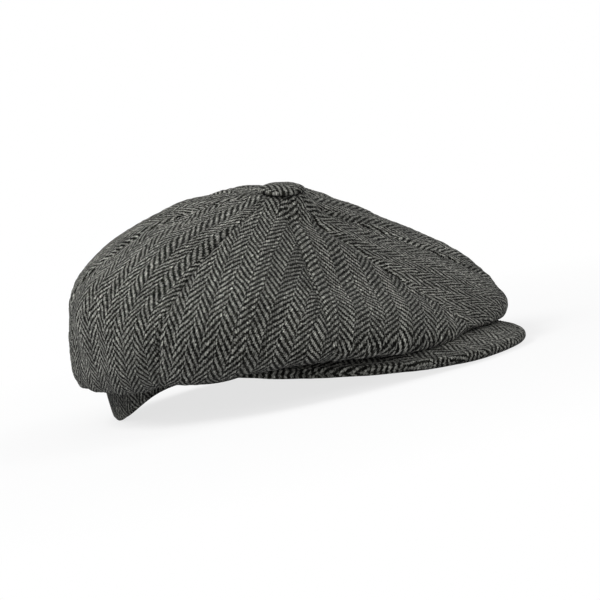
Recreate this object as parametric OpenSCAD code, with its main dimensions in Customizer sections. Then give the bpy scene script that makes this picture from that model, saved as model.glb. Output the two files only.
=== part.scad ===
// Newsboy cap: eight-panel tweed crown, shaped headband, short stiff peak and a covered button.
// The cap sits on a table on the low corners of its band and the front edge of its peak.
// +Z is up, the front of the cap faces -Y and the wearer's right is -X.
// The origin is on the table, under the centre of the head opening.

/* [Head opening] */
// Half length of the headband's top edge, front to back
band_half_l = 107; // [100:0.5:112]
// Half width of the headband's top edge, side to side
band_half_w = 84; // [78:0.5:90]
// How much smaller the band's lower edge is than its top edge, each side
band_taper = 2; // [0:0.5:4]
// Height of the band's lower edge above the table at the forehead
edge_front = 34; // [30:0.5:36]
// Height of the band's lower edge above the table at the ears
edge_side = 20; // [18:0.5:22]
// Height of the band's lower edge above the table at the middle of the nape
edge_nape = 13; // [11:0.5:15]
// How far the band's lower edge dips behind the ears
edge_dip = 14; // [10:0.5:14]
// Height of the seam between the band and the crown, above the table, at the forehead
seam_front = 53; // [50:0.5:55]
// Height of that seam at the ears
seam_side = 41; // [38:0.5:44]
// Height of that seam at the nape
seam_nape = 30.5; // [28:0.5:33]

/* [Crown] */
// Number of crown panels, which is also the number of seams
panel_count = 8; // [8]
// Forward tilt of the crown's widest line, in degrees
crown_tilt = 14.8; // [13:0.1:16]
// Half length of the crown at its widest line
crown_half_l = 134; // [129:0.5:138]
// Half width of the crown at its widest line
crown_half_w = 126; // [121:0.5:130]
// Centre of the widest line, along Y
crown_y = -29.5; // [-33:0.5:-26]
// Centre of the widest line, above the table
crown_z = 53.5; // [52:0.5:56]
// Middle of the crown's top, along Y
top_y = -43.5; // [-48:0.5:-39]
// Middle of the crown's top, above the table
top_z = 114; // [111:0.5:118]
// Thickness of the tweed with its backing
tweed_t = 2; // [1.5:0.1:2.5]
// Gap between neighbouring panels at a seam
seam_gap = 1; // [0.8:0.1:1.2]
// How far each panel bulges between its seams
panel_puff = 2; // [0:0.1:3]

/* [Peak] */
// Half width of the peak at its widest
peak_half_w = 79; // [77:0.5:84]
// Position of the peak's front edge, along Y
peak_front_y = -177; // [-180:0.5:-172]
// Roundness of the peak's outline: 2 is an ellipse, more is squarer
peak_power = 2.5; // [2.2:0.05:2.8]
// Half of the angle that the peak covers on the headband, in degrees
peak_reach = 70; // [64:1:74]
// Height of the peak's middle surface above the table at its front edge
peak_front_z = 2.6; // [2.6:0.1:5]
// Thickness of the stiffening board
board_t = 2; // [1.5:0.1:2.5]
// Thickness of each peak cover
cover_t = 1.6; // [1.2:0.1:1.8]
// Distance of the topstitching from the peak's edge
stitch_inset = 7; // [5:0.5:9]

/* [Button] */
// Diameter of the covered button
button_d = 28; // [24:0.5:30]
// Height of the covered button
button_h = 6; // [6:0.5:8]

/* [Hidden] */
// Clear space between stacked layers of cloth
layer_gap = 0.25;
// Radius of the hole left where the panels meet under the button
crown_hole_r = 4.6;
// Shape of the crown's profile as values at the front, the side and the back
shoulder_reach = [0.32, 0.29, 0.44];
shoulder_drop = [0.52, -0.02, -0.13];
wall_rise = [0.1, 0.4, 0.28];
roll_drop = [9, 30, 47];
roll_out = [26, 25, 18];
roll_under = [15.5, 31, 14];
// Points along a panel's upper part, its lower roll and across its width
upper_steps = 10;
roll_steps = 7;
width_steps = 6;
// Segments around the headband and its layers
ring_steps = 60;
// Size of the step for finding a surface's normal
tiny = 0.002;
// Thickness of the layers inside the band, and the share of the band's height that they cover
interlining_t = 0.8;
interlining_span = [0.06, 0.94];
sweat_t = 1.2;
sweat_span = [0.03, 0.97];
// Radius of a thread, and the share of a stitch's pitch that shows
thread_r = 0.35;
stitch_share = 0.7;
// Stitches round the sweatband, and the share of the band's height at which they run
band_stitches = 60;
stitch_height = 0.09;
// Half angle, thickness and heights of the label at the nape
label_half_a = 13;
label_t = 0.5;
label_rows = [0.82, 0.5, 0.2];
// Thickness of the lining, its drop under the crown's top, and its distance from the sweatband
lining_t = 0.6;
lining_clear = 8;
lining_gap = 0.2;
// Shape of the lining's profile as values at the front, the side and the back
lining_reach = [0.4, 0.5, 0.5];
lining_drop = [0.55, 0.12, 0.08];
lining_out = [14, 16, 6];
lining_up = [8, 32, 45];
// Where the lining's oval top ends and its side pieces begin
lining_start = 0.02;
lining_split = 0.42;
lining_seam = 0.005;
lining_steps = 8;
// Angle between a side piece of the lining and the middle line, in degrees
lining_side_gap = 0.2;
// Points along the peak's outline and across its depth
peak_steps = 26;
peak_depth_steps = 5;
// How far the peak's outline reaches towards its temple corners, and where it bends into them
peak_end = 0.985;
peak_corner = 0.12;
// Direction across the peak's thickness at its middle, and how much it fans out to the sides
peak_up = [0, -0.42, 0.91];
peak_fan = 0.12;
// Distance of the board's edge from the peak's edge
board_margin = 3;
// Stitches along the peak, their reach and their lift from the cloth
peak_stitches = 52;
stitch_reach = 0.86;
stitch_lift = 0.2;
// Height of the button's underside above the crown's top
button_lift = 1.3;
button_skin = 1.6;
fold_t = 1;
// Height of the button's rim, and the radius of the opening in the cloth under it
rim_h = 1.5;
fold_r = 7.5;
// Sheet metal of the button's parts
plate_t = 0.6;
plate_clear = 0.6;
shank_r = 1.2;
shank_gap = 0.1;
shank_head_t = 0.5;
washer_r = 5;
washer_drop = 3.4;
washer_t = 0.8;
// Distance of the press stud from the peak's edge, and its sizes
snap_back = 32;
stud_r = 5;
stud_t = 0.8;
stud_sink = 0.3;
ball_r = 1.7;
ball_h = 1.8;
socket_r = 4;
socket_h = 3.8;
snap_clear = 0.35;

crown_up = [0, -sin(crown_tilt), cos(crown_tilt)];
crown_forward = [0, -cos(crown_tilt), -sin(crown_tilt)];
crown_right = [-1, 0, 0];
crown_centre = [0, crown_y, crown_z];
top_centre = [0, top_y, top_z];
dome_h = (top_centre - crown_centre) * crown_up;
panel_angle = 360 / panel_count;
peak_stack = board_t / 2 + layer_gap + cover_t;

tweed_colour = [0.32, 0.32, 0.3];
tweed_dark = [0.24, 0.24, 0.23];
lining_colour = [0.1, 0.1, 0.11];
thread_colour = [0.45, 0.45, 0.42];
metal_colour = [0.7, 0.7, 0.72];
label_colour = [0.75, 0.73, 0.68];
board_colour = [0.12, 0.12, 0.12];

// ---------- shared shape rules ----------

// A value that runs smoothly around the cap from the front, through the side, to the back
function around(values, a) =
    let (half_diff = (values[0] - values[2]) / 2,
         mean = (values[0] + values[2]) / 2,
         ripple = (mean - values[1]) / 2)
    mean - ripple + half_diff * cos(a) + ripple * cos(2 * a);

function bezier(p, t) =
    pow(1 - t, 3) * p[0] + 3 * pow(1 - t, 2) * t * p[1]
    + 3 * (1 - t) * t * t * p[2] + pow(t, 3) * p[3];

function unit(v) = v / norm(v);

// The band's lower edge dips on both sides of the nape
function edge_z(a) =
    around([edge_front, edge_side, edge_nape], a)
    - (cos(a) < 0 ? edge_dip * pow(sin(2 * a), 2) : 0);
function seam_z(a) = around([seam_front, seam_side, seam_nape], a);
function outward(a) = [-sin(a), -cos(a), 0];

// A point on the headband: s is 0 at the lower edge and 1 at the crown seam
function band_point(a, s, inset) =
    let (shrink = band_taper * (1 - s) + inset)
    [-(band_half_w - shrink) * sin(a),
     -(band_half_l - shrink) * cos(a),
     edge_z(a) * (1 - s) + seam_z(a) * s];

// ---------- crown surface ----------

function crown_outward(a) = cos(a) * crown_forward + sin(a) * crown_right;
function widest_point(a) =
    crown_centre + crown_half_l * cos(a) * crown_forward + crown_half_w * sin(a) * crown_right;

function upper_curve(a) =
    let (start = top_centre + crown_hole_r * crown_outward(a),
         widest = widest_point(a),
         reach = norm(widest - start))
    [start,
     start + crown_outward(a) * reach * around(shoulder_reach, a)
         - crown_up * dome_h * around(shoulder_drop, a),
     widest + crown_up * dome_h * around(wall_rise, a),
     widest];

function roll_curve(a) =
    let (seam = band_point(a, 1, 0))
    [widest_point(a),
     widest_point(a) - crown_up * around(roll_drop, a),
     seam + outward(a) * around(roll_out, a) - [0, 0, around(roll_under, a)],
     seam + outward(a) * layer_gap + [0, 0, layer_gap]];

// t runs from 0 at the button to 1 at the widest line and 2 at the headband seam
function crown_base(a, t) =
    t <= 1 ? bezier(upper_curve(a), t) : bezier(roll_curve(a), t - 1);

function crown_normal(a, t) =
    let (mid = min(max(t, 2 * tiny), 2 - 2 * tiny),
         across = crown_base(a + 1, mid) - crown_base(a - 1, mid),
         along = crown_base(a, mid + tiny) - crown_base(a, mid - tiny))
    unit(cross(across, along));

function puff_at(a, t) =
    panel_puff * pow(sin(180 * (a / panel_angle - floor(a / panel_angle))), 2) * pow(sin(90 * t), 2);

function crown_point(a, t, inset) =
    crown_base(a, t) + crown_normal(a, t) * (puff_at(a, t) - inset);

// ---------- closed sheets from two point grids ----------

function grid_quads(rows, cols, base, flip) = [
    for (i = [0:rows - 2], j = [0:cols - 2])
        let (a = base + i * cols + j, b = a + 1, c = a + cols + 1, d = a + cols)
        each flip ? [[a, c, b], [a, d, c]] : [[a, b, c], [a, c, d]]
];

function strip(outer_list, inner_list) = [
    for (k = [0:len(outer_list) - 2])
        each [[outer_list[k], inner_list[k], inner_list[k + 1]],
              [outer_list[k], inner_list[k + 1], outer_list[k + 1]]]
];

// outer and inner are grids of the same size. The first index runs round the cap, from the
// front to the wearer's right, and the second runs outward from the middle.
module sheet(outer, inner) {
    rows = len(outer);
    cols = len(outer[0]);
    count = rows * cols;
    first_row = [for (j = [0:cols - 1]) j];
    last_row = [for (j = [cols - 1:-1:0]) (rows - 1) * cols + j];
    first_col = [for (i = [rows - 1:-1:0]) i * cols];
    last_col = [for (i = [0:rows - 1]) i * cols + cols - 1];
    loop = concat(first_row, [for (k = [1:rows - 1]) last_col[k]],
                  [for (k = [1:cols - 1]) last_row[k]], [for (k = [1:rows - 1]) first_col[k]]);
    polyhedron(
        points = concat([for (r = outer) each r], [for (r = inner) each r]),
        faces = concat(grid_quads(rows, cols, 0, false),
                       grid_quads(rows, cols, count, true),
                       strip(loop, [for (k = loop) k + count])),
        convexity = 8);
}

// A closed ring: each section is a loop of points, and the sections run once round the cap
module ring(sections) {
    rows = len(sections);
    cols = len(sections[0]);
    polyhedron(
        points = [for (s = sections) each s],
        faces = [for (i = [0:rows - 1], j = [0:cols - 1])
            let (a = i * cols + j,
                 b = i * cols + (j + 1) % cols,
                 c = ((i + 1) % rows) * cols + (j + 1) % cols,
                 d = ((i + 1) % rows) * cols + j)
            each [[a, c, b], [a, d, c]]],
        convexity = 8);
}

// ---------- crown panels ----------

module crown_panel(index) {
    start = index * panel_angle;
    rows = [for (i = [0:width_steps]) i / width_steps];
    steps = concat([for (j = [0:upper_steps]) j / upper_steps],
                   [for (j = [1:roll_steps]) 1 + j / roll_steps]);
    // Each edge of the panel is moved back from the seam by half of the gap
    function edge_shift(f, a) =
        (f == 0 ? 1 : f == 1 ? -1 : 0) * seam_gap / 2
        * unit(crown_right * cos(a) - crown_forward * sin(a));
    function panel_grid(inset) = [
        for (f = rows)
            let (a = start + f * panel_angle)
            [for (t = steps) crown_point(a, t, inset) + edge_shift(f, a)]
    ];
    color(tweed_colour)
        sheet(panel_grid(0), panel_grid(tweed_t));
}

module crown_panel_front_right() { crown_panel(0); }
module crown_panel_side_front_right() { crown_panel(1); }
module crown_panel_side_back_right() { crown_panel(2); }
module crown_panel_back_right() { crown_panel(3); }
module crown_panel_back_left() { crown_panel(4); }
module crown_panel_side_back_left() { crown_panel(5); }
module crown_panel_side_front_left() { crown_panel(6); }
module crown_panel_front_left() { crown_panel(7); }

// ---------- headband and its layers ----------

module band_layer(inset, thick, low, high) {
    ring([for (i = [0:ring_steps - 1])
        let (a = 360 * i / ring_steps)
        [band_point(a, low, inset), band_point(a, high, inset),
         band_point(a, high, inset + thick), band_point(a, low, inset + thick)]]);
}

interlining_inset = tweed_t + layer_gap;
sweat_inset = interlining_inset + interlining_t + layer_gap;

module headband() {
    color(tweed_dark)
        band_layer(0, tweed_t, 0, 1);
}

module headband_interlining() {
    color(lining_colour)
        band_layer(interlining_inset, interlining_t, interlining_span[0], interlining_span[1]);
}

module sweatband() {
    color(lining_colour)
        band_layer(sweat_inset, sweat_t, sweat_span[0], sweat_span[1]);
}

// A short straight thread between two points, as a square bar
module stitch(from, to) {
    span = to - from;
    side = unit(cross(span, [0, 0, 1])) * thread_r;
    rise = [0, 0, thread_r];
    corner = [side + rise, side - rise, -side - rise, rise - side];
    polyhedron(
        points = concat([for (c = corner) from + c], [for (c = corner) to + c]),
        faces = [[0, 1, 2, 3], [7, 6, 5, 4],
                 for (k = [0:3]) [k, k + 4, (k + 1) % 4 + 4, (k + 1) % 4]]);
}

module sweatband_stitching() {
    inset = sweat_inset + sweat_t + layer_gap + thread_r;
    pitch = 360 / band_stitches;
    color(thread_colour)
        for (k = [0:band_stitches - 1])
            stitch(band_point(k * pitch, stitch_height, inset),
                   band_point((k + stitch_share) * pitch, stitch_height, inset));
}

// A blank woven label at the nape
module size_label() {
    inset = sweat_inset + sweat_t + layer_gap;
    rows = [for (k = [-3:3]) 180 + label_half_a * k / 3];
    function label_grid(extra) = [
        for (a = rows) [for (s = label_rows) band_point(a, s, inset + extra)]
    ];
    color(label_colour)
        sheet(label_grid(0), label_grid(label_t));
}

// ---------- lining ----------

// The lining hangs inside the crown, from under the button to the top of the sweatband
function lining_curve(a) =
    let (start = top_centre - crown_up * lining_clear,
         seam = band_point(a, sweat_span[1],
                           sweat_inset + sweat_t + layer_gap + lining_t + lining_gap),
         span = norm(seam - start))
    [start,
     start + crown_outward(a) * span * around(lining_reach, a)
         - crown_up * dome_h * around(lining_drop, a),
     seam + outward(a) * around(lining_out, a) + [0, 0, around(lining_up, a)],
     seam];

function lining_base(a, t) = bezier(lining_curve(a), t);

function lining_point(a, t, inset) =
    let (mid = min(max(t, 2 * tiny), 1 - 2 * tiny),
         across = lining_base(a + 1, mid) - lining_base(a - 1, mid),
         along = lining_base(a, mid + tiny) - lining_base(a, mid - tiny))
    lining_base(a, t) - unit(cross(across, along)) * inset;

module lining_sheet(from_a, to_a, from_t, to_t, steps) {
    rows = [for (i = [0:steps]) from_a + (to_a - from_a) * i / steps];
    cols = [for (j = [0:lining_steps]) from_t + (to_t - from_t) * j / lining_steps];
    sheet([for (a = rows) [for (t = cols) lining_point(a, t, 0)]],
          [for (a = rows) [for (t = cols) lining_point(a, t, lining_t)]]);
}

module lining_tip() {
    // The oval top, as a closed dome with a small opening under the button washer
    last = lining_split - lining_seam;
    color(lining_colour)
        ring([for (i = [0:47])
            let (a = 360 * i / 48,
                 cols = [for (j = [0:lining_steps])
                     lining_start + (last - lining_start) * j / lining_steps])
            concat([for (t = cols) lining_point(a, t, lining_t)],
                   [for (j = [lining_steps:-1:0]) lining_point(a, cols[j], 0)])]);
}

module lining_side_right() {
    color(lining_colour)
        lining_sheet(lining_side_gap, 180 - lining_side_gap, lining_split, 1, 24);
}

module lining_side_left() {
    color(lining_colour)
        lining_sheet(180 + lining_side_gap, 360 - lining_side_gap, lining_split, 1, 24);
}

// ---------- peak ----------

// q runs from -1 at the left temple to 1 at the right temple
function peak_inner(q) = band_point(q * peak_reach, 0, 0) - [0, 0, peak_stack + layer_gap];

// The outer edge leaves the temple corner and runs round the front
function peak_outer(q) =
    let (corner = peak_inner(1),
         power = 2 / peak_power,
         wide = sign(q) * pow(abs(sin(90 * q)), power),
         deep = pow(abs(cos(90 * q)), power),
         away = 1 - pow(min(max(1 - (1 - abs(q)) / peak_corner, 0), 1), 2),
         edge = [-peak_half_w * wide,
                 corner[1] + (peak_front_y - corner[1]) * deep,
                 peak_front_z + (corner[2] - peak_front_z) * (1 - deep)])
    edge * away + peak_inner(q) * (1 - away);

// v runs from 0 at the headband to 1 at the peak's edge
function peak_base(q, v) =
    let (inner = peak_inner(q), outer = peak_outer(q))
    inner + (outer - inner) * v;

// Direction across the peak's thickness
function peak_normal(q) = unit(peak_up + [peak_fan * q, 0, 0]);

function peak_point(q, v, lift) = peak_base(q, v) + peak_normal(q) * lift;

// Distance from the headband as a share of the peak's depth, for a margin kept from the edge
function inside_edge(q, margin) = 1 - margin / max(norm(peak_outer(q) - peak_inner(q)), 2 * margin);

module peak_layer(low, high, margin) {
    rows = [for (i = [0:peak_steps]) peak_end * (2 * i / peak_steps - 1)];
    function layer_grid(lift) = [
        for (q = rows)
            [for (j = [0:peak_depth_steps])
                peak_point(q, inside_edge(q, margin) * j / peak_depth_steps, lift)]
    ];
    sheet(layer_grid(high), layer_grid(low));
}

module peak_top_cover() {
    color(tweed_colour)
        peak_layer(board_t / 2 + layer_gap, peak_stack, 0);
}

module peak_board() {
    color(board_colour)
        peak_layer(-board_t / 2, board_t / 2, board_margin);
}

module peak_under_cover() {
    color(tweed_dark)
        peak_layer(-peak_stack, -board_t / 2 - layer_gap, 0);
}

module peak_topstitching() {
    lift = peak_stack + thread_r + stitch_lift;
    function stitch_end(k) =
        let (q = stitch_reach * (2 * k / peak_stitches - 1))
        peak_point(q, inside_edge(q, stitch_inset), lift);
    color(thread_colour)
        for (k = [0:peak_stitches - 1])
            stitch(stitch_end(k), stitch_end(k + stitch_share));
}

// ---------- button ----------

// The button's own frame: its underside rests on the crown and its axis is the crown's own up
module on_crown_top() {
    translate(top_centre + crown_up * button_lift)
        rotate([crown_tilt, 0, 0])
            children();
}

// Half outline of a flattened dome with radius r and height h, from its rim to its middle
function dome_outline(r, h, base) = [
    for (a = [0:10:90]) [r * pow(cos(a), 0.8), base + h * pow(sin(a), 0.9)]
];

function reversed(list) = [for (k = [len(list) - 1:-1:0]) list[k]];

// The cloth wraps over the shell and folds under its rim
module button_cover() {
    r = button_d / 2;
    inner_r = r - button_skin;
    inner_h = button_h - rim_h - button_skin;
    color(tweed_colour)
        on_crown_top()
            rotate_extrude($fn = 64)
                polygon(concat([[fold_r, 0], [r - 1, 0]],
                               dome_outline(r, button_h - rim_h, rim_h),
                               reversed(dome_outline(inner_r, inner_h, rim_h)),
                               [[inner_r - 0.4, fold_t], [fold_r, fold_t]]));
}

module button_shell() {
    gap = button_skin + layer_gap;
    outer_r = button_d / 2 - gap;
    outer_h = button_h - rim_h - gap;
    base = rim_h + layer_gap;
    color(metal_colour)
        on_crown_top()
            rotate_extrude($fn = 64)
                polygon(concat(dome_outline(outer_r, outer_h - layer_gap, base),
                               reversed(dome_outline(outer_r - plate_t, outer_h - layer_gap - plate_t,
                                                     base))));
}

module button_back_plate() {
    color(metal_colour)
        on_crown_top()
            translate([0, 0, rim_h])
                difference() {
                    cylinder(r = button_d / 2 - button_skin - 2 * layer_gap - plate_t - plate_clear,
                             h = plate_t, $fn = 48);
                    translate([0, 0, -1])
                        cylinder(r = shank_r + shank_gap, h = plate_t + 2, $fn = 32);
                }
}

module button_shank() {
    drop = tweed_t + washer_t + washer_drop + shank_head_t;
    head = rim_h + plate_t + shank_gap;
    color(metal_colour)
        on_crown_top() {
            translate([0, 0, -drop])
                cylinder(r = shank_r, h = drop + head + shank_head_t, $fn = 32);
            translate([0, 0, head])
                cylinder(r = shank_r + 1, h = shank_head_t, $fn = 32);
        }
}

module button_washer() {
    color(metal_colour)
        on_crown_top()
            translate([0, 0, -tweed_t - washer_t - washer_drop])
                difference() {
                    cylinder(r = washer_r, h = washer_t, $fn = 48);
                    translate([0, 0, -1])
                        cylinder(r = shank_r + shank_gap, h = washer_t + 2, $fn = 32);
                }
}

// ---------- press stud between the crown's front and the peak ----------

module on_peak_top() {
    share = 1 - snap_back / norm(peak_outer(0) - peak_inner(0));
    translate(peak_point(0, share, peak_stack))
        rotate([atan2(-peak_up[1], peak_up[2]), 0, 0])
            children();
}

module snap_stud() {
    color(metal_colour)
        on_peak_top() {
            translate([0, 0, -stud_sink])
                cylinder(r = stud_r, h = stud_t, $fn = 32);
            cylinder(r = ball_r, h = ball_h, $fn = 32);
        }
}

module snap_socket() {
    color(metal_colour)
        on_peak_top()
            translate([0, 0, stud_t - stud_sink + snap_clear])
                difference() {
                    cylinder(r = socket_r, h = socket_h, $fn = 32);
                    translate([0, 0, -1])
                        cylinder(r = ball_r + snap_clear, h = 1 + ball_h, $fn = 32);
                }
}

crown_panel_front_right();
crown_panel_side_front_right();
crown_panel_side_back_right();
crown_panel_back_right();
crown_panel_back_left();
crown_panel_side_back_left();
crown_panel_side_front_left();
crown_panel_front_left();
headband();
headband_interlining();
sweatband();
sweatband_stitching();
size_label();
lining_tip();
lining_side_right();
lining_side_left();
peak_top_cover();
peak_board();
peak_under_cover();
peak_topstitching();
button_cover();
button_shell();
button_back_plate();
button_shank();
button_washer();
snap_stud();
snap_socket();
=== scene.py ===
"""The looks of a newsboy cap: tweed crown, band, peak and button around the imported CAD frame.

Everything is in metres in the row frame: +Z up, the front of the cap at -Y, the wearer's right at -X.
Angles run round the cap from the front (0) through the wearer's right (90) to the nape (180).
"""
import bpy
import numpy as np
from mathutils import Matrix, Vector, noise


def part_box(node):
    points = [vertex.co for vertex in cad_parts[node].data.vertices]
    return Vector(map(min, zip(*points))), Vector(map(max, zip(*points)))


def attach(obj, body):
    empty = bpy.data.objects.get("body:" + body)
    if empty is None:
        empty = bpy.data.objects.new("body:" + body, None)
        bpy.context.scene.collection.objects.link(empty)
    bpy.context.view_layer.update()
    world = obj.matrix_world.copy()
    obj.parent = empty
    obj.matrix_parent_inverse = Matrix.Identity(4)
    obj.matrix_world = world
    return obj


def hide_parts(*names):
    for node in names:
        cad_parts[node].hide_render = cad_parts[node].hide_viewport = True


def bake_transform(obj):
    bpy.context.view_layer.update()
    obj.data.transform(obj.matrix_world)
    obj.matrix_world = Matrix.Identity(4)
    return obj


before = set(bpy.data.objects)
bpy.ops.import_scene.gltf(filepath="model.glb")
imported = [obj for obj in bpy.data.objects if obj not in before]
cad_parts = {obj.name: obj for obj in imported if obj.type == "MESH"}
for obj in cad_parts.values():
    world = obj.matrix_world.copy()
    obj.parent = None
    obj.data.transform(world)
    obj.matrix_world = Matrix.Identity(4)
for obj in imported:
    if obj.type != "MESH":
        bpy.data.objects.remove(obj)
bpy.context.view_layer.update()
MM = 0.001

# ---------- dimensions that follow the CAD ----------

BAND_HALF_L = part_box("headband")[1][1]
BAND_HALF_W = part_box("headband")[1][0]
BAND_TAPER = 2 * MM
EDGE_Z = (34 * MM, 20 * MM, 13 * MM)
EDGE_DIP = 14 * MM
SEAM_Z = (53 * MM, 41 * MM, 30.5 * MM)

CROWN_HALF_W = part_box("crown_panel_side_back_left")[1][0]
CROWN_HALF_L = 134 * MM
CROWN_TILT = np.radians(14.8)
CROWN_CENTRE = np.array([0, -29.5, 53.5]) * MM
TOP_CENTRE = np.array([0, -43.5, 114]) * MM
HOLE_R = 4.6 * MM
PANELS = 8
TWEED_T = 2 * MM
LAYER_GAP = 0.25 * MM
SHOULDER_REACH = (0.32, 0.29, 0.44)
SHOULDER_DROP = (0.52, -0.02, -0.13)
WALL_RISE = (0.1, 0.4, 0.28)
ROLL_DROP = (9 * MM, 30 * MM, 47 * MM)
ROLL_OUT = (26 * MM, 25 * MM, 18 * MM)
ROLL_UNDER = (15.5 * MM, 31 * MM, 14 * MM)

CROWN_UP = np.array([0, -np.sin(CROWN_TILT), np.cos(CROWN_TILT)])
CROWN_FORWARD = np.array([0, -np.cos(CROWN_TILT), -np.sin(CROWN_TILT)])
CROWN_RIGHT = np.array([-1.0, 0, 0])
DOME_H = float((TOP_CENTRE - CROWN_CENTRE) @ CROWN_UP)

PEAK_HALF_W = 79 * MM
PEAK_FRONT_Y = -177 * MM
PEAK_POWER = 2.5
PEAK_REACH = 70.0
PEAK_FRONT_Z = 2.6 * MM
PEAK_STACK = 2.85 * MM

# ---------- shape rules ----------


def around(values, a):
    """A value that runs smoothly from the front, through the side, to the back."""
    front, side, back = values
    mean = (front + back) / 2
    ripple = (mean - side) / 2
    return mean - ripple + (front - back) / 2 * np.cos(a) + ripple * np.cos(2 * a)


def bezier(p, t):
    return (1 - t) ** 3 * p[0] + 3 * (1 - t) ** 2 * t * p[1] + 3 * (1 - t) * t * t * p[2] + t**3 * p[3]


def unit(v):
    return v / np.linalg.norm(v, axis=-1, keepdims=True)


def smooth(x):
    x = np.clip(x, 0, 1)
    return x * x * (3 - 2 * x)


def bump_at(x, centre, width):
    return np.exp(-(((x - centre) / width) ** 2))


def outward(a):
    return np.stack([-np.sin(a), -np.cos(a), 0 * a], -1)


def edge_height(a):
    """Height of the band's lower edge, which dips on both sides of the nape."""
    return around(EDGE_Z, a) - np.where(np.cos(a) < 0, EDGE_DIP * np.sin(2 * a) ** 2, 0)


def band_point(a, s, inset=0.0):
    """A point on the headband: s is 0 at the lower edge and 1 at the crown seam."""
    shrink = BAND_TAPER * (1 - s) + inset
    return np.stack(
        [
            -(BAND_HALF_W - shrink) * np.sin(a),
            -(BAND_HALF_L - shrink) * np.cos(a),
            edge_height(a) * (1 - s) + around(SEAM_Z, a) * s,
        ],
        -1,
    )


def crown_outward(a):
    return np.cos(a)[..., None] * CROWN_FORWARD + np.sin(a)[..., None] * CROWN_RIGHT


def crown_base(a, t):
    """The crown's smooth surface: t is 0 at the button, 1 at the widest line, 2 at the headband."""
    a, t = np.broadcast_arrays(a, t)
    out = crown_outward(a)
    widest = (
        CROWN_CENTRE
        + CROWN_HALF_L * np.cos(a)[..., None] * CROWN_FORWARD
        + CROWN_HALF_W * np.sin(a)[..., None] * CROWN_RIGHT
    )
    start = TOP_CENTRE + HOLE_R * out
    reach = np.linalg.norm(widest - start, axis=-1)
    upper = [
        start,
        start
        + out * (reach * around(SHOULDER_REACH, a))[..., None]
        - CROWN_UP * (DOME_H * around(SHOULDER_DROP, a))[..., None],
        widest + CROWN_UP * (DOME_H * around(WALL_RISE, a))[..., None],
        widest,
    ]
    seam = band_point(a, np.ones_like(a))
    lower = [
        widest,
        widest - CROWN_UP * around(ROLL_DROP, a)[..., None],
        seam
        + outward(a) * around(ROLL_OUT, a)[..., None]
        - np.array([0, 0, 1]) * around(ROLL_UNDER, a)[..., None],
        seam + outward(a) * LAYER_GAP + np.array([0, 0, LAYER_GAP]),
    ]
    t = t[..., None]
    return np.where(t <= 1, bezier(upper, np.minimum(t, 1)), bezier(lower, np.maximum(t - 1, 0)))


def grid_normals(points, closed_rows=False):
    """Outward normals of a grid whose rows run round the cap and whose columns run away from the middle."""
    if closed_rows:
        along_rows = np.roll(points, -1, 0) - np.roll(points, 1, 0)
    else:
        along_rows = np.gradient(points, axis=0)
    return unit(np.cross(along_rows, np.gradient(points, axis=1)))


def noise_at(points, size, seed):
    """Smooth noise with features of about the given size, one value a point."""
    shift = Vector((seed * 7.31, seed * 3.17, seed * 5.73))
    flat = points.reshape(-1, 3) / size
    values = [noise.noise(Vector(p) + shift) for p in flat]
    return np.array(values).reshape(points.shape[:-1])


# ---------- meshes ----------


def new_object(name, verts, faces, uvs=None):
    mesh = bpy.data.meshes.new(name)
    mesh.from_pydata([tuple(v) for v in verts], [], [tuple(f) for f in faces])
    mesh.validate()
    mesh.polygons.foreach_set("use_smooth", [True] * len(mesh.polygons))
    if uvs is not None:
        layer = mesh.uv_layers.new(name="weave")
        corners = np.zeros(len(mesh.loops), dtype=np.int32)
        mesh.loops.foreach_get("vertex_index", corners)
        layer.data.foreach_set("uv", np.asarray(uvs)[corners].astype(np.float32).ravel())
    obj = bpy.data.objects.new(name, mesh)
    bpy.context.scene.collection.objects.link(obj)
    return obj


def quads(rows, cols, base, flip, closed):
    count = rows if closed else rows - 1
    i, j = np.meshgrid(np.arange(count), np.arange(cols - 1), indexing="ij")
    a = base + i * cols + j
    d = base + ((i + 1) % rows) * cols + j
    faces = np.stack([a, d, d + 1, a + 1] if not flip else [a, a + 1, d + 1, d], -1)
    return faces.reshape(-1, 4).tolist()


def closed_sheet(name, outer, inner, uvs, closed=False):
    """A thin closed solid between two grids of points that share one set of weave coordinates."""
    rows, cols = outer.shape[:2]
    count = rows * cols
    faces = quads(rows, cols, 0, False, closed) + quads(rows, cols, count, True, closed)
    if closed:
        loops = [[i * cols for i in range(rows)] + [0]]
        loops.append([i * cols + cols - 1 for i in range(rows - 1, -1, -1)] + [rows * cols - 1])
    else:
        first = list(range(cols))
        last = [i * cols + cols - 1 for i in range(1, rows)]
        back = [(rows - 1) * cols + j for j in range(cols - 2, -1, -1)]
        home = [i * cols for i in range(rows - 2, -1, -1)]
        loops = [(first + last + back + home)[::-1]]
    for loop in loops:
        for a, b in zip(loop, loop[1:]):
            faces.append((b, a, a + count, b + count))
    verts = np.concatenate([outer.reshape(-1, 3), inner.reshape(-1, 3)])
    uv = np.concatenate([uvs.reshape(-1, 2), uvs.reshape(-1, 2)])
    return new_object(name, verts, faces, uv)


def tube(points, radius, sides=6):
    """Points and faces of a round thread along a short path, with closed ends."""
    points = np.asarray(points)
    run = unit(np.gradient(points, axis=0))
    side = unit(np.cross(run, np.array([0.03, 0.02, 1.0])))
    rise = np.cross(side, run)
    angle = np.linspace(0, 2 * np.pi, sides, endpoint=False)
    thick = radius * np.array([0.55] + [1.0] * (len(points) - 2) + [0.55])
    ring = np.cos(angle)[None, :, None] * side[:, None] + np.sin(angle)[None, :, None] * rise[:, None]
    verts = (points[:, None] + ring * thick[:, None, None]).reshape(-1, 3)
    faces = [tuple(range(sides)), tuple(range(len(verts) - 1, len(verts) - sides - 1, -1))]
    for i in range(len(points) - 1):
        for k in range(sides):
            a, b = i * sides + k, i * sides + (k + 1) % sides
            faces.append((a, a + sides, b + sides, b))
    return verts, faces


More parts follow.
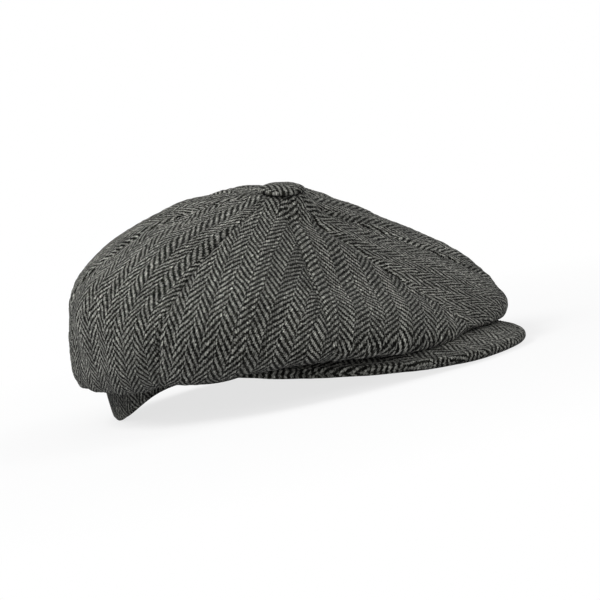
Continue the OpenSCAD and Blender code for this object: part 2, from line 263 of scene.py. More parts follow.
def stitches(name, path, count, share, radius):
    """A row of separate stitches: path(s) gives points on the cloth and the direction away from it."""
    verts, faces = [], []
    total = 0
    for k in range(count):
        s = (k + np.linspace(0, share, 7)) / count
        points, away = path(s)
        points = points + away * (np.sin(np.linspace(0, np.pi, 7)) * 1.3 - 0.45)[:, None] * radius
        v, f = tube(points, radius)
        verts.append(v)
        faces += [tuple(i + total for i in face) for face in f]
        total += len(v)
    return new_object(name, np.concatenate(verts), faces)


# ---------- materials ----------


class Shader:
    """Short calls for building a node material."""

    def __init__(self, name):
        self.material = bpy.data.materials.new(name)
        self.material.use_nodes = True
        self.tree = self.material.node_tree
        self.bsdf = self.tree.nodes["Principled BSDF"]

    def link(self, value, socket):
        if isinstance(value, bpy.types.NodeSocket):
            self.tree.links.new(value, socket)
        else:
            socket.default_value = value

    def node(self, kind, **settings):
        made = self.tree.nodes.new(kind)
        for key, value in settings.items():
            setattr(made, key, value)
        return made

    def math(self, operation, a, b=0.0, c=0.0, clamp=False):
        made = self.node("ShaderNodeMath", operation=operation, use_clamp=clamp)
        for value, socket in zip((a, b, c), made.inputs):
            self.link(value, socket)
        return made.outputs[0]

    def blend(self, factor, a, b):
        """a where the factor is 0 and b where it is 1, for numbers."""
        made = self.node("ShaderNodeMix", data_type="FLOAT")
        for value, socket in zip((factor, a, b), (made.inputs[0], made.inputs[2], made.inputs[3])):
            self.link(value, socket)
        return made.outputs[0]

    def blend_colour(self, factor, a, b, mode="MIX"):
        made = self.node("ShaderNodeMix", data_type="RGBA", blend_type=mode)
        for value, socket in zip((factor, a, b), (made.inputs[0], made.inputs[6], made.inputs[7])):
            self.link(value, socket)
        return made.outputs[2]

    def noise(self, vector, scale, detail=2.0, roughness=0.5):
        made = self.node("ShaderNodeTexNoise")
        self.link(vector, made.inputs["Vector"])
        made.inputs["Scale"].default_value = scale
        made.inputs["Detail"].default_value = detail
        made.inputs["Roughness"].default_value = roughness
        return made.outputs["Fac"]

    def vector(self, x, y, z=0.0):
        made = self.node("ShaderNodeCombineXYZ")
        for value, socket in zip((x, y, z), made.inputs):
            self.link(value, socket)
        return made.outputs[0]

    def split(self, vector):
        made = self.node("ShaderNodeSeparateXYZ")
        self.link(vector, made.inputs[0])
        return made.outputs[0], made.outputs[1], made.outputs[2]

    def random(self, value):
        made = self.node("ShaderNodeTexWhiteNoise", noise_dimensions="1D")
        self.link(value, made.inputs["W"])
        return made.outputs["Value"]

    def bump(self, height, distance, strength=1.0):
        made = self.node("ShaderNodeBump")
        made.inputs["Strength"].default_value = strength
        made.inputs["Distance"].default_value = distance
        self.link(height, made.inputs["Height"])
        self.link(made.outputs[0], self.bsdf.inputs["Normal"])

    def uv(self):
        return self.node("ShaderNodeUVMap", uv_map="weave").outputs[0]

    def place(self):
        return self.node("ShaderNodeTexCoord").outputs["Object"]

    def finish(self, colour, roughness, sheen=0.0, metallic=0.0, specular=0.3):
        self.link(colour, self.bsdf.inputs["Base Color"])
        self.link(roughness, self.bsdf.inputs["Roughness"])
        self.bsdf.inputs["Metallic"].default_value = metallic
        self.bsdf.inputs["Sheen Weight"].default_value = sheen
        self.bsdf.inputs["Sheen Roughness"].default_value = 0.5
        self.bsdf.inputs["Specular IOR Level"].default_value = specular
        return self.material


# Spacing of the yarns, in the weave coordinates' millimetres, and warp yarns in one column
WARP_PITCH, WEFT_PITCH, COLUMN = 0.96, 1.23, 9
LIGHT_WOOL = (0.37, 0.372, 0.333, 1)
DARK_WOOL = (0.0085, 0.0085, 0.0068, 1)


def tweed_material(name, painted_shade_factor=1.0):
    """Broken herringbone in 2/2 twill: light warp, near black weft, both woolly."""
    s = Shader(name)
    x, y, _ = s.split(s.uv())
    # The cloth isn't perfectly straight: a slow wander, and the wobble of each yarn
    slow = s.math("MULTIPLY", s.math("SUBTRACT", s.noise(s.vector(x, y, 3.0), 0.055, 1.0), 0.5), 3.2)
    wobble_x = s.math("MULTIPLY", s.math("SUBTRACT", s.noise(s.vector(x, y, 9.0), 0.5, 4.0, 0.75), 0.5), 3.0)
    wobble_y = s.math("MULTIPLY", s.math("SUBTRACT", s.noise(s.vector(x, y, 21.0), 0.5, 4.0, 0.75), 0.5), 3.2)
    u = s.math("DIVIDE", s.math("ADD", s.math("ADD", x, slow), wobble_x), WARP_PITCH)
    v = s.math("DIVIDE", s.math("ADD", y, wobble_y), WEFT_PITCH)
    warp_id, weft_id = s.math("FLOOR", u), s.math("FLOOR", v)
    across, along = s.math("FRACT", u), s.math("FRACT", v)
    column = s.math("FLOOR", s.math("DIVIDE", u, float(COLUMN)))
    odd = s.math("FLOORED_MODULO", column, 2.0)
    place = s.math("SUBTRACT", warp_id, s.math("MULTIPLY", column, float(COLUMN)))
    turned = s.blend(odd, place, s.math("SUBTRACT", COLUMN - 1.0, place))
    step = s.math("ADD", s.math("ADD", turned, weft_id), s.math("MULTIPLY", odd, 2.0))
    phase = s.math("FLOORED_MODULO", step, 4.0)
    warp_up = s.math("LESS_THAN", phase, 1.5)
    # Rounded yarns that dive under each other at the ends of their floats
    warp_round = s.math("POWER", s.math("SINE", s.math("MULTIPLY", across, np.pi)), 0.6)
    weft_round = s.math("POWER", s.math("SINE", s.math("MULTIPLY", along, np.pi)), 0.6)
    warp_run = s.math("DIVIDE", s.math("ADD", phase, along), 2.0)
    weft_step = s.blend(odd, across, s.math("SUBTRACT", 1.0, across))
    weft_run = s.math("DIVIDE", s.math("ADD", s.math("SUBTRACT", phase, 2.0), weft_step), 2.0)

    def arch(run):
        return s.math("ADD", 0.5, s.math("MULTIPLY", s.math("SINE", s.math("MULTIPLY", run, np.pi)), 0.5))

    warp_height = s.math("MULTIPLY", warp_round, arch(warp_run))
    weft_height = s.math("MULTIPLY", s.math("MULTIPLY", weft_round, arch(weft_run)), 0.85)
    height = s.blend(warp_up, weft_height, warp_height)
    # Colour: each yarn differs, with clumps of lighter and darker fibre spun in
    warp_shade = s.math("ADD", 0.52, s.math("MULTIPLY", s.random(warp_id), 0.85))
    weft_shade = s.math("ADD", 0.5, s.math("MULTIPLY", s.random(s.math("ADD", weft_id, 517.0)), 1.3))
    clump = s.math("SUBTRACT", s.noise(s.vector(x, y, 60.0), 0.7, 3.0, 0.7), 0.5)
    fibre = s.math("SUBTRACT", s.noise(s.vector(x, y, 80.0), 2.0, 3.0, 0.8), 0.5)
    fleck = s.math("ADD", s.math("MULTIPLY", clump, 5.4), s.math("MULTIPLY", fibre, 3.6))
    warp_value = s.math("MULTIPLY", warp_shade, s.math("ADD", 1.0, fleck))
    weft_value = s.math("MULTIPLY", weft_shade, s.math("ADD", 1.4, s.math("MULTIPLY", fleck, 5.0)))
    value = s.math("MAXIMUM", s.blend(warp_up, weft_value, warp_value), 0.05)
    # Painted shade: the colour darkens where the yarns dip, between them and at the ends of their floats
    shade = s.math("MULTIPLY", value, s.math("ADD", 0.2, s.math("MULTIPLY", height, 0.9)))
    patch = s.noise(s.vector(x, y, 40.0), 0.06, 3.0, 0.6)
    shade = s.math("MULTIPLY", shade, s.math("ADD", 0.45, s.math("MULTIPLY", patch, 1.1)))
    # Painted shade: the whole cloth is darkened by a factor, for pieces that sit under others
    shade = s.math("MULTIPLY", shade, painted_shade_factor)
    wool = s.blend_colour(warp_up, DARK_WOOL, LIGHT_WOOL)
    colour = s.blend_colour(1.0, wool, s.vector(shade, shade, shade), "MULTIPLY")
    fuzz = s.noise(s.vector(s.math("MULTIPLY", x, 4.0), s.math("MULTIPLY", y, 4.0)), 1.0, 2.0)
    s.bump(s.math("ADD", height, s.math("MULTIPLY", fuzz, 0.7)), 0.3 * MM, 0.8)
    return s.finish(colour, 0.95, sheen=0.06, specular=0.06)


def satin_material(name, colour):
    """Lining: fine satin, with soft broad folds; its colour is painted lighter where the folds rise, a painted
    sheen.
    """
    s = Shader(name)
    place = s.place()
    x, y, z = s.split(place)
    rib = s.math("SINE", s.math("MULTIPLY", s.math("ADD", x, y), 2 * np.pi / (0.8 * MM)))
    soft = s.noise(place, 38.0, 3.0)
    # A lighter copy of the colour, mixed in where the folds rise: a painted sheen
    light = tuple(min(1.0, c * 1.8) for c in colour[:3]) + (1,)
    s.bump(s.math("ADD", s.math("MULTIPLY", rib, 0.12), s.math("MULTIPLY", soft, 3.0)), 0.35 * MM, 0.7)
    rough = s.math("ADD", 0.3, s.math("MULTIPLY", soft, 0.2))
    return s.finish(s.blend_colour(soft, colour, light), rough, sheen=0.1, specular=0.5)


def tape_material(name, colour, pitch):
    """Woven tape: fine diagonal ribs, with a little dust in the colour and a painted highlight on the ribs'
    crests.
    """
    s = Shader(name)
    x, y, _ = s.split(s.uv())
    rib = s.math("SINE", s.math("MULTIPLY", s.math("ADD", x, y), 2 * np.pi / pitch))
    cross = s.math("SINE", s.math("MULTIPLY", s.math("SUBTRACT", x, y), 2 * np.pi / (pitch * 0.5)))
    height = s.math("ADD", s.math("MULTIPLY", rib, 0.35), s.math("MULTIPLY", cross, 0.15))
    lint = s.noise(s.vector(x, y), 0.8, 4.0, 0.7)
    lighter = tuple(min(1.0, c * 2.2 + 0.004) for c in colour[:3]) + (1,)
    # Lighter where the lint noise is high, which is dust, and on the ribs' crests, which is a painted highlight
    mix = s.math("MULTIPLY", s.math("ADD", lint, s.math("MULTIPLY", rib, 0.25)), 0.7, clamp=True)
    s.bump(s.math("ADD", height, lint), 0.2 * MM, 0.7)
    return s.finish(s.blend_colour(mix, colour, lighter), 0.85, sheen=0.15, specular=0.2)


def thread_material(name, colour):
    s = Shader(name)
    x, y, z = s.split(s.place())
    lay = s.math("ADD", s.math("ADD", x, y), z)
    twist = s.math("SINE", s.math("MULTIPLY", lay, 2 * np.pi / (0.55 * MM)))
    # The grooves of the twist are painted darker than its crests: painted shade
    darker = tuple(c * 0.45 for c in colour[:3]) + (1,)
    mix = s.math("ADD", 0.5, s.math("MULTIPLY", twist, 0.5))
    s.bump(twist, 0.08 * MM, 0.6)
    return s.finish(s.blend_colour(mix, darker, colour), 0.6, sheen=0.1)


def metal_material(name, colour, roughness):
    """Pressed sheet metal: small scratches and stains."""
    s = Shader(name)
    place = s.place()
    scratch = s.noise(place, 2600.0, 2.0)
    stain = s.noise(place, 220.0, 3.0)
    dull = tuple(c * 0.7 for c in colour[:3]) + (1,)
    s.bump(scratch, 0.03 * MM, 0.4)
    rough = s.math("ADD", roughness, s.math("MULTIPLY", stain, 0.2))
    return s.finish(s.blend_colour(stain, dull, colour), rough, metallic=1.0, specular=0.5)


def board_material(name):
    """Moulded stiffener: matt grain with scuffs."""
    s = Shader(name)
    place = s.place()
    grain = s.noise(place, 1400.0, 3.0)
    scuff = s.noise(place, 90.0, 4.0, 0.7)
    s.bump(grain, 0.08 * MM, 0.6)
    rough = s.math("ADD", 0.5, s.math("MULTIPLY", scuff, 0.3))
    return s.finish(s.blend_colour(scuff, (0.02, 0.02, 0.021, 1), (0.07, 0.07, 0.07, 1)), rough)


TWEED = tweed_material("tweed")
# A darker copy of the tweed: painted shade for the headband and the peak's underside, which sit under the crown's
# roll and the peak
TWEED_SHADED = tweed_material("tweed_shaded", 0.9)
LINING = satin_material("lining_satin", (0.016, 0.017, 0.02, 1))
SWEATBAND = tape_material("sweatband_tape", (0.014, 0.014, 0.016, 1), 1.1)
INTERLINING = tape_material("interlining_cloth", (0.4, 0.39, 0.36, 1), 0.9)
LABEL = tape_material("label_cloth", (0.42, 0.4, 0.34, 1), 0.7)
THREAD = thread_material("tweed_thread", (0.3, 0.3, 0.27, 1))
DARK_THREAD = thread_material("dark_thread", (0.05, 0.05, 0.052, 1))
STEEL = metal_material("pressed_steel", (0.55, 0.55, 0.56, 1), 0.3)
STUD_METAL = metal_material("blackened_brass", (0.09, 0.085, 0.08, 1), 0.35)
BOARD = board_material("peak_board_plastic")


def wear(obj, material, slot, body, *nodes):
    """Gives a piece its material, its body and the CAD nodes that it stands for; the slot argument is not used."""
    obj.data.materials.clear()
    obj.data.materials.append(material)
    if body:
        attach(obj, body)
    if nodes:
        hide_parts(*nodes)
    return obj


# ---------- crown ----------

PANEL_ANGLE = 2 * np.pi / PANELS
SIM_RINGS, SIM_STEPS = 96, 40
SIM_FRAMES = 16
SIM_CAP = 2.2 * MM
VISUAL_PUFF = 1.8 * MM
SEAM_DEPTH = 0.95 * MM
# How the weave lies in each panel of the right half: its turn, and how much it leans lower down
GRAIN = ((np.radians(16), 0.42), (np.radians(2), 0.18), (np.radians(-8), 0.0), (0.0, 0.0))
LEAN_START, LEAN_EASE = -22.0, 8.0


def settle_crown():
    """How far the crown's cloth moves when it relaxes: a grid of shifts over angle and profile."""
    a = np.arange(SIM_RINGS) * 2 * np.pi / SIM_RINGS
    t = np.linspace(0, 2, SIM_STEPS)
    rest = crown_base(a[:, None], t[None, :])
    faces = quads(SIM_RINGS, SIM_STEPS, 0, False, True)
    obj = new_object("crown_cloth_study", rest.reshape(-1, 3), faces)
    pins = obj.vertex_groups.new(name="pins")
    seam = np.abs(np.sin(a * PANELS / 2)) < 0.1
    for i in range(SIM_RINGS):
        for j in range(SIM_STEPS):
            held = 1.0 if t[j] < 0.12 or t[j] > 1.9 else (0.4 if seam[i] else 0.08)
            pins.add([i * SIM_STEPS + j], held, "REPLACE")
    cloth = obj.modifiers.new("cloth", "CLOTH")
    cloth.settings.quality = 6
    cloth.settings.mass = 0.25
    cloth.settings.tension_stiffness = 12
    cloth.settings.compression_stiffness = 12
    cloth.settings.shear_stiffness = 6
    cloth.settings.bending_stiffness = 0.3
    cloth.settings.vertex_group_mass = "pins"
    cloth.settings.pin_stiffness = 1.5
    cloth.settings.use_pressure = True
    cloth.settings.uniform_pressure_force = 1.2
    cloth.settings.shrink_min = -0.035
    cloth.point_cache.frame_start = 1
    cloth.point_cache.frame_end = SIM_FRAMES
    for step in range(1, SIM_FRAMES + 1):
        bpy.context.scene.frame_set(step)
    shaped = obj.evaluated_get(bpy.context.evaluated_depsgraph_get()).to_mesh()
    points = np.zeros(len(shaped.vertices) * 3, dtype=np.float32)
    shaped.vertices.foreach_get("co", points)
    shift = points.reshape(rest.shape).astype(float) - rest
    bpy.context.scene.frame_set(1)
    bpy.data.objects.remove(obj)
    length = np.linalg.norm(shift, axis=-1, keepdims=True)
    return shift * np.minimum(1, SIM_CAP / np.maximum(length, 1e-9))


def sample_grid(grid, a, t):
    """A smooth look-up in a grid over angle (closed) and profile."""
    x = (a / (2 * np.pi) * SIM_RINGS) % SIM_RINGS
    y = np.clip(t / 2 * (SIM_STEPS - 1), 0, SIM_STEPS - 1.001)
    i, j = np.floor(x).astype(int) % SIM_RINGS, np.floor(y).astype(int)
    fx, fy = smooth(x - np.floor(x))[..., None], smooth(y - j)[..., None]
    k = (i + 1) % SIM_RINGS
    near = grid[i, j] * (1 - fx) + grid[k, j] * fx
    far = grid[i, j + 1] * (1 - fx) + grid[k, j + 1] * fx
    return near * (1 - fy) + far * fy


def crown_panel(index, name, relax):
    """One wedge of the crown, as a closed sheet with its own weave direction."""
    across, upper, roll = 73, 130, 80
    f = np.linspace(0, 1, across)
    f = f - 0.035 * np.sin(4 * np.pi * f) / 2
    t = np.concatenate([np.linspace(0, 1, upper), np.linspace(1, 2, roll)[1:]])
    a = ((index + f) * PANEL_ANGLE)[:, None] + 0 * t[None, :]
    t = t[None, :] + 0 * a
    base = crown_base(a, t)
    # Weave coordinates: measured across each row from the panel's middle, and along the middle
    middle = across // 2
    row_run = np.linalg.norm(np.diff(base, axis=0), axis=-1)
    x = np.concatenate([np.zeros((1, t.shape[1])), np.cumsum(row_run, axis=0)])
    x = x - x[middle]
    y = np.concatenate([[0], np.cumsum(np.linalg.norm(np.diff(base[middle], axis=0), axis=-1))])
    mirror = 1 if index < PANELS // 2 else -1
    turn, lean = GRAIN[index if mirror > 0 else PANELS - 1 - index]
    flat_x, flat_y = mirror * x / MM, 0 * x + (y - y[upper - 1])[None, :] / MM
    leaned = lean * LEAN_EASE * np.log1p(np.exp((flat_y - LEAN_START) / LEAN_EASE))
    weave_x = flat_x * np.cos(turn) - flat_y * np.sin(turn) - leaned
    weave_y = flat_x * np.sin(turn) + flat_y * np.cos(turn)
    uvs = np.stack([weave_x + 43.2 * index + 300, weave_y + 61.0 * index + 300], -1)
    # Distance to the nearest seam
    half = x[-1][None, :]
    seam = np.maximum(half - np.abs(x), 0)
    narrow = smooth(half / (14 * MM))
    # The seams draw the cloth in on the upper crown, and hardly at all on the lower roll
    drawn = 1 - 0.75 * smooth((t - 0.95) / 0.45)
    points = base + sample_grid(relax, a, t) * drawn[..., None]
    normal = grid_normals(base)
    ease = np.sin(np.pi / 2 * np.clip(t / 0.35, 0, 1)) * smooth((2 - t) / 0.25)
    rounded = 1 - np.exp(-seam / (9 * MM)) * drawn
    height = VISUAL_PUFF * rounded * ease + 0.3 * MM * ease
    # The lower roll hangs a little slacker than the CAD's, and so does the front of the brow
    height -= 1.5 * MM * bump_at(t, 1.55, 0.3) + 1.3 * MM * bump_at(t, 1.0, 0.25) * np.clip(np.cos(a), 0, 1) ** 4
    height += 0.8 * MM * bump_at(t, 0.8, 0.3) * np.clip(-np.cos(a), 0, 1)
    height -= SEAM_DEPTH * np.exp(-((seam / (1.8 * MM)) ** 1.5)) * narrow * drawn
    height += 0.15 * MM * bump_at(seam, 5 * MM, 2.4 * MM) * ease
    pucker = noise_at(base, 8 * MM, 3) * 0.7 * MM * np.exp(-seam / (9 * MM)) * ease
    pucker += noise_at(base, 3.2 * MM, 7) * 0.42 * MM + noise_at(base, 6 * MM, 11) * 0.3 * MM * ease
    dents = noise_at(base, 46 * MM, 1) * 3.2 * MM + noise_at(base, 19 * MM, 2) * 1.1 * MM
    height += pucker + dents * ease * smooth(seam / (14 * MM) + 0.25)
    # The panels gather into a soft step under the button's rim
    radius = np.linalg.norm(base - TOP_CENTRE, axis=-1)
    height += 5.5 * MM * bump_at(radius, 11 * MM, 9 * MM) * around((1, 0.2, 0.06), a)
    points = points + normal * height[..., None]
    # The front lip settles on the peak
    lip = np.clip(np.cos(a), 0, 1) ** 1.5 * bump_at(t, 1.25, 0.3)
    points[..., 2] -= 1.6 * MM * lip
    # The cloth is pressed thinner where the profile folds tightly, so its inner face never crosses itself
    step = np.linalg.norm(np.diff(base, axis=1), axis=-1)
    bend = np.linalg.norm(np.diff(normal, axis=1), axis=-1) / np.maximum(step, 1e-6)
    bend = np.concatenate([bend[:, :1], np.maximum(bend[:, 1:], bend[:, :-1]), bend[:, -1:]], 1)
    tight = np.stack([np.roll(bend, k, axis=1) for k in (-3, -2, -1, 0, 1, 2, 3)]).max(axis=0)
    thick = np.minimum(TWEED_T * 0.9, 0.45 / np.maximum(tight, 1e-6))
    inner = points - grid_normals(points) * thick[..., None]
    obj = closed_sheet(name, points, inner, uvs)
    return wear(obj, TWEED, "tweed", "cap", name)


PANEL_NAMES = [
    "crown_panel_front_right",
    "crown_panel_side_front_right",
    "crown_panel_side_back_right",
    "crown_panel_back_right",
    "crown_panel_back_left",
    "crown_panel_side_back_left",
    "crown_panel_side_front_left",
    "crown_panel_front_left",
]


def build_crown():
    relax = settle_crown()
    for index, name in enumerate(PANEL_NAMES):
        crown_panel(index, name, relax)


# ---------- headband layers ----------

# The band splits at the temples: its back part goes with the cap's body, and its front part is given no body
FRONT_HALF = np.radians(76)


def band_arc(part):
    if part == "front":
        return -FRONT_HALF, FRONT_HALF
    return FRONT_HALF, 2 * np.pi - FRONT_HALF


def band_layer(node, part, inset, thick, low, high, material, slot, roundness, sag=0.0):
    """Part of a ring of cloth inside the crown's opening, with rolled edges."""
    first, last = band_arc(part)
    count = 121 if part == "back" else 81
    a = np.linspace(first, last, count)[:, None]
    # The profile goes over the outer face and round each edge
    s = np.linspace(low, high, 21)[None, :]
    a, s = a + 0 * s, s + 0 * a
    depth = thick / 2 * (1 - np.sqrt(np.clip(1 - (2 * np.abs((s - low) / (high - low) - 0.5)) ** 16, 0, 1)))
    wave = roundness * noise_at(band_point(a, s), 24 * MM, 5) + sag * np.sin(np.pi * (s - low) / (high - low))
    outer = band_point(a, s, inset) + outward(a) * (wave - depth)[..., None]
    inner = band_point(a, s, inset) + outward(a) * (wave - thick + depth)[..., None]
    run = np.concatenate([[0], np.cumsum(np.linalg.norm(np.diff(outer[:, 10], axis=0), axis=-1))])
    rise = (s - low) * (around(SEAM_Z, a) - edge_height(a))
    uvs = np.stack([run[:, None] / MM + 0 * s + 11.0, rise / MM + 200.0], -1)
    # Rows run clockwise seen from above, and columns go up, so the inner face comes first
    obj = closed_sheet(f"{node}_{part}", inner, outer, uvs)
    wear(obj, material, slot, None if part == "front" else "cap")
    if part == "front":
        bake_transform(obj)
    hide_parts(node)
    return obj


def build_band():
    for part in ("front", "back"):
        band_layer("headband", part, 0.0, TWEED_T, 0.0, 1.0, TWEED_SHADED, "tweed", 0.5 * MM)
        band_layer(
            "headband_interlining", part, 2.25 * MM, 0.8 * MM, 0.06, 0.94, INTERLINING, "interlining", 0.0
        )
        band_layer("sweatband", part, 3.3 * MM, 1.2 * MM, 0.03, 0.97, SWEATBAND, "sweatband", 0.15 * MM, -0.5 * MM)

    def low_row(part):
        first, last = band_arc(part)

        def path(s):
            a = first + (last - first) * s
            away = -outward(a)
            return band_point(a, 0.12 + 0 * a, 4.75 * MM), away

        return path

    for part, count in (("front", 34), ("back", 52)):
        row = stitches(f"sweatband_stitching_{part}", low_row(part), count, 0.7, 0.32 * MM)
        wear(row, DARK_THREAD, "thread", None if part == "front" else "cap")
        if part == "front":
            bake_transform(row)
        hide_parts("sweatband_stitching")


def build_label():
    """A blank woven label, sewn flat at the nape with its corners turned under."""
    half_angle = np.radians(13)
    a = np.pi + np.linspace(-half_angle, half_angle, 41)[:, None]
    s = np.linspace(0.2, 0.82, 21)[None, :]
    a, s = a + 0 * s, s + 0 * a
    edge = np.minimum(half_angle - np.abs(a - np.pi), (0.31 - np.abs(s - 0.51)) * 0.4)
    lift = 0.55 * MM * smooth(edge / 0.02) + 0.15 * MM * noise_at(band_point(a, s), 9 * MM, 8)
    face = band_point(a, s, 5.0 * MM) - outward(a) * lift[..., None]
    back = band_point(a, s, 4.9 * MM)
    uvs = np.stack([(a - np.pi) * 100, s * 28], -1)
    obj = closed_sheet("size_label", face, back, uvs)
    wear(obj, LABEL, "label", "cap", "size_label")


# ---------- lining ----------

LINING_SPLIT = 0.42
LINING_T = 0.6 * MM


def lining_base(a, t):
    a, t = np.broadcast_arrays(a, t)
    out = crown_outward(a)
    start = TOP_CENTRE - CROWN_UP * 8 * MM + 0 * out
    seam = band_point(a, 0.97 + 0 * a, 5.8 * MM)
    span = np.linalg.norm(seam - start, axis=-1)
    curve = [
        start,
        start
        + out * (span * around((0.4, 0.5, 0.5), a))[..., None]
        - CROWN_UP * (DOME_H * around((0.55, 0.12, 0.08), a))[..., None],
        seam
        + outward(a) * around((14 * MM, 16 * MM, 6 * MM), a)[..., None]
        + np.array([0, 0, 1]) * around((8 * MM, 32 * MM, 45 * MM), a)[..., None],
        seam,
    ]
    return bezier(curve, t[..., None])


def lining_piece(name, first, last, low, high, rows, closed):
    a = np.linspace(first, last, rows, endpoint=not closed)[:, None]
    t = np.linspace(low, high, 30)[None, :]
    a, t = a + 0 * t, t + 0 * a
    base = lining_base(a, t)
    normal = grid_normals(base, closed)
    # Loose satin: it is eased in at its seams, so it ripples there, and it stays inside the crown
    from_edge = np.minimum(np.abs(t - LINING_SPLIT), np.abs(1 - t))
    ripple = np.sin(a * 46 + 2 * noise_at(base, 30 * MM, 6)) * np.exp(-from_edge / 0.07)
    loose = 1.6 * MM * noise_at(base, 30 * MM, 4) + 0.35 * MM * ripple
    tuck = -1.0 * MM * bump_at(t, LINING_SPLIT, 0.018)
    base = base + normal * ((loose - 1.2 * MM) * smooth(from_edge / 0.05) - tuck * -1)[..., None]
    inner = base - grid_normals(base, closed) * LINING_T
    uvs = np.stack([a * 60, t * 90], -1)
    obj = closed_sheet(name, base, inner, uvs, closed)
    return wear(obj, LINING, "lining", "cap", name)


def build_lining():
    lining_piece("lining_tip", 0, 2 * np.pi, 0.02, LINING_SPLIT - 0.004, 96, True)
    lining_piece("lining_side_right", 0.004, np.pi - 0.004, LINING_SPLIT, 1, 96, False)
    lining_piece("lining_side_left", np.pi + 0.004, 2 * np.pi - 0.004, LINING_SPLIT, 1, 96, False)


# ---------- peak ----------

PEAK_NORMAL_TILT = np.array([0, -0.42, 0.91])
EDGE_R = 2.6 * MM
TOPSTITCH_IN = 7 * MM


def peak_inner(q):
    a = np.radians(q * PEAK_REACH)
    return band_point(a, 0 * a) - np.array([0, 0, PEAK_STACK + LAYER_GAP])


def peak_outer(q):
    corner = peak_inner(np.array([1.0]))[0]
    power = 2 / PEAK_POWER
    wide = np.sign(q) * np.abs(np.sin(np.pi / 2 * q)) ** power
    deep = np.abs(np.cos(np.pi / 2 * q)) ** power
    away = 1 - np.clip((np.abs(q) - 0.88) / 0.12, 0, 1) ** 2
    edge = np.stack(
        [
            -PEAK_HALF_W * wide,
            corner[1] + (PEAK_FRONT_Y - corner[1]) * deep,
            PEAK_FRONT_Z + (corner[2] - PEAK_FRONT_Z) * (1 - deep),
        ],
        -1,
    )
    return edge * away[..., None] + peak_inner(q) * (1 - away)[..., None]


def peak_normal(q):
    return unit(PEAK_NORMAL_TILT + np.stack([0.12 * q, 0 * q, 0 * q], -1))


def peak_place(q, back, lift):
    """A point on the peak, back from its outer edge by a distance and off its middle by a lift."""
    inner, outer = peak_inner(q), peak_outer(q)
    run = inner - outer
    depth = np.linalg.norm(run, axis=-1, keepdims=True)
    share = np.clip(back[..., None] / np.maximum(depth, 1e-6), 0, 1)
    return outer + run * share + peak_normal(q) * lift[..., None]


def peak_cover(name, side, material):
    """One cloth face of the peak: a sheet that wraps half round the rim. side is 1 for the top."""
    count, flat, rim = 121, 34, 10
    # Even steps along the outline, kept off the two temple corners
    q = np.linspace(-0.985, 0.985, count)[:, None]
    depth = np.linalg.norm(peak_inner(q[:, 0]) - peak_outer(q[:, 0]), axis=-1)[:, None]
    edge_r = np.minimum(EDGE_R, depth * 0.3)
    turn = np.linspace(0, np.pi / 2 + 0.12, rim)[None, :]
    share = np.linspace(1, 0, flat)[None, :]
    back = np.concatenate([edge_r + (depth - edge_r) * share, (edge_r * (1 - np.sin(turn)))[:, 1:]], 1)
    fall = np.concatenate([np.ones((count, flat)), (np.cos(turn) + 0 * edge_r)[:, 1:]], 1)
    q = q + 0 * back
    lift = (PEAK_STACK - 0.15 * MM) * fall
    groove = -0.35 * MM * bump_at(back, TOPSTITCH_IN, 0.9 * MM)
    pad = 0.35 * MM * (smooth((back - 8 * MM) / (10 * MM)) + bump_at(back, 3.5 * MM, 2.2 * MM))
    surface = peak_place(q, back, 0 * back)
    rough = 0.25 * MM * noise_at(surface, 16 * MM, 9) + 0.1 * MM * noise_at(surface, 5 * MM, 10)
    lift = lift + (groove + pad + rough) * fall
    outer = peak_place(q, back, side * lift)
    inset = np.minimum(back + 1.3 * MM, depth)
    inner = peak_place(q, inset, side * np.maximum(lift - 1.5 * MM, 0.1 * MM))
    # The weave runs on over the rim, so it follows the length along the cloth
    wrap = np.concatenate([np.zeros((count, flat)), (edge_r + PEAK_STACK) / 2 * turn[:, 1:]], 1)
    run_out = unit(peak_outer(q) - peak_inner(q))
    reach = peak_place(q, np.maximum(back, edge_r), 0 * back) + run_out * wrap[..., None]
    uvs = np.stack([reach[..., 0] / MM + 153.0, -reach[..., 1] / MM * 1.08 + 300.0 * side + 600], -1)
    if side > 0:
        obj = closed_sheet(name, outer, inner, uvs)
    else:
        obj = closed_sheet(name, inner, outer, uvs)
    return wear(obj, material, "tweed", "peak", name)


def build_peak():
    peak_cover("peak_top_cover", 1, TWEED)
    peak_cover("peak_under_cover", -1, TWEED_SHADED)

    def path(s):
        q = -0.9 + 1.8 * s
        return peak_place(q, TOPSTITCH_IN + 0 * q, PEAK_STACK - 0.1 * MM + 0 * q), peak_normal(q)

    row = stitches("peak_topstitching", path, 84, 0.72, 0.3 * MM)
    wear(row, THREAD, "thread", "peak", "peak_topstitching")


# ---------- button ----------


BUTTON_LIFT = 1.3 * MM


def button_frame():
    """The button's own axes: its base is just over the crown's top and it leans with the crown."""
    back = np.cross(CROWN_UP, CROWN_RIGHT)
    return TOP_CENTRE + CROWN_UP * BUTTON_LIFT, CROWN_RIGHT, back, CROWN_UP


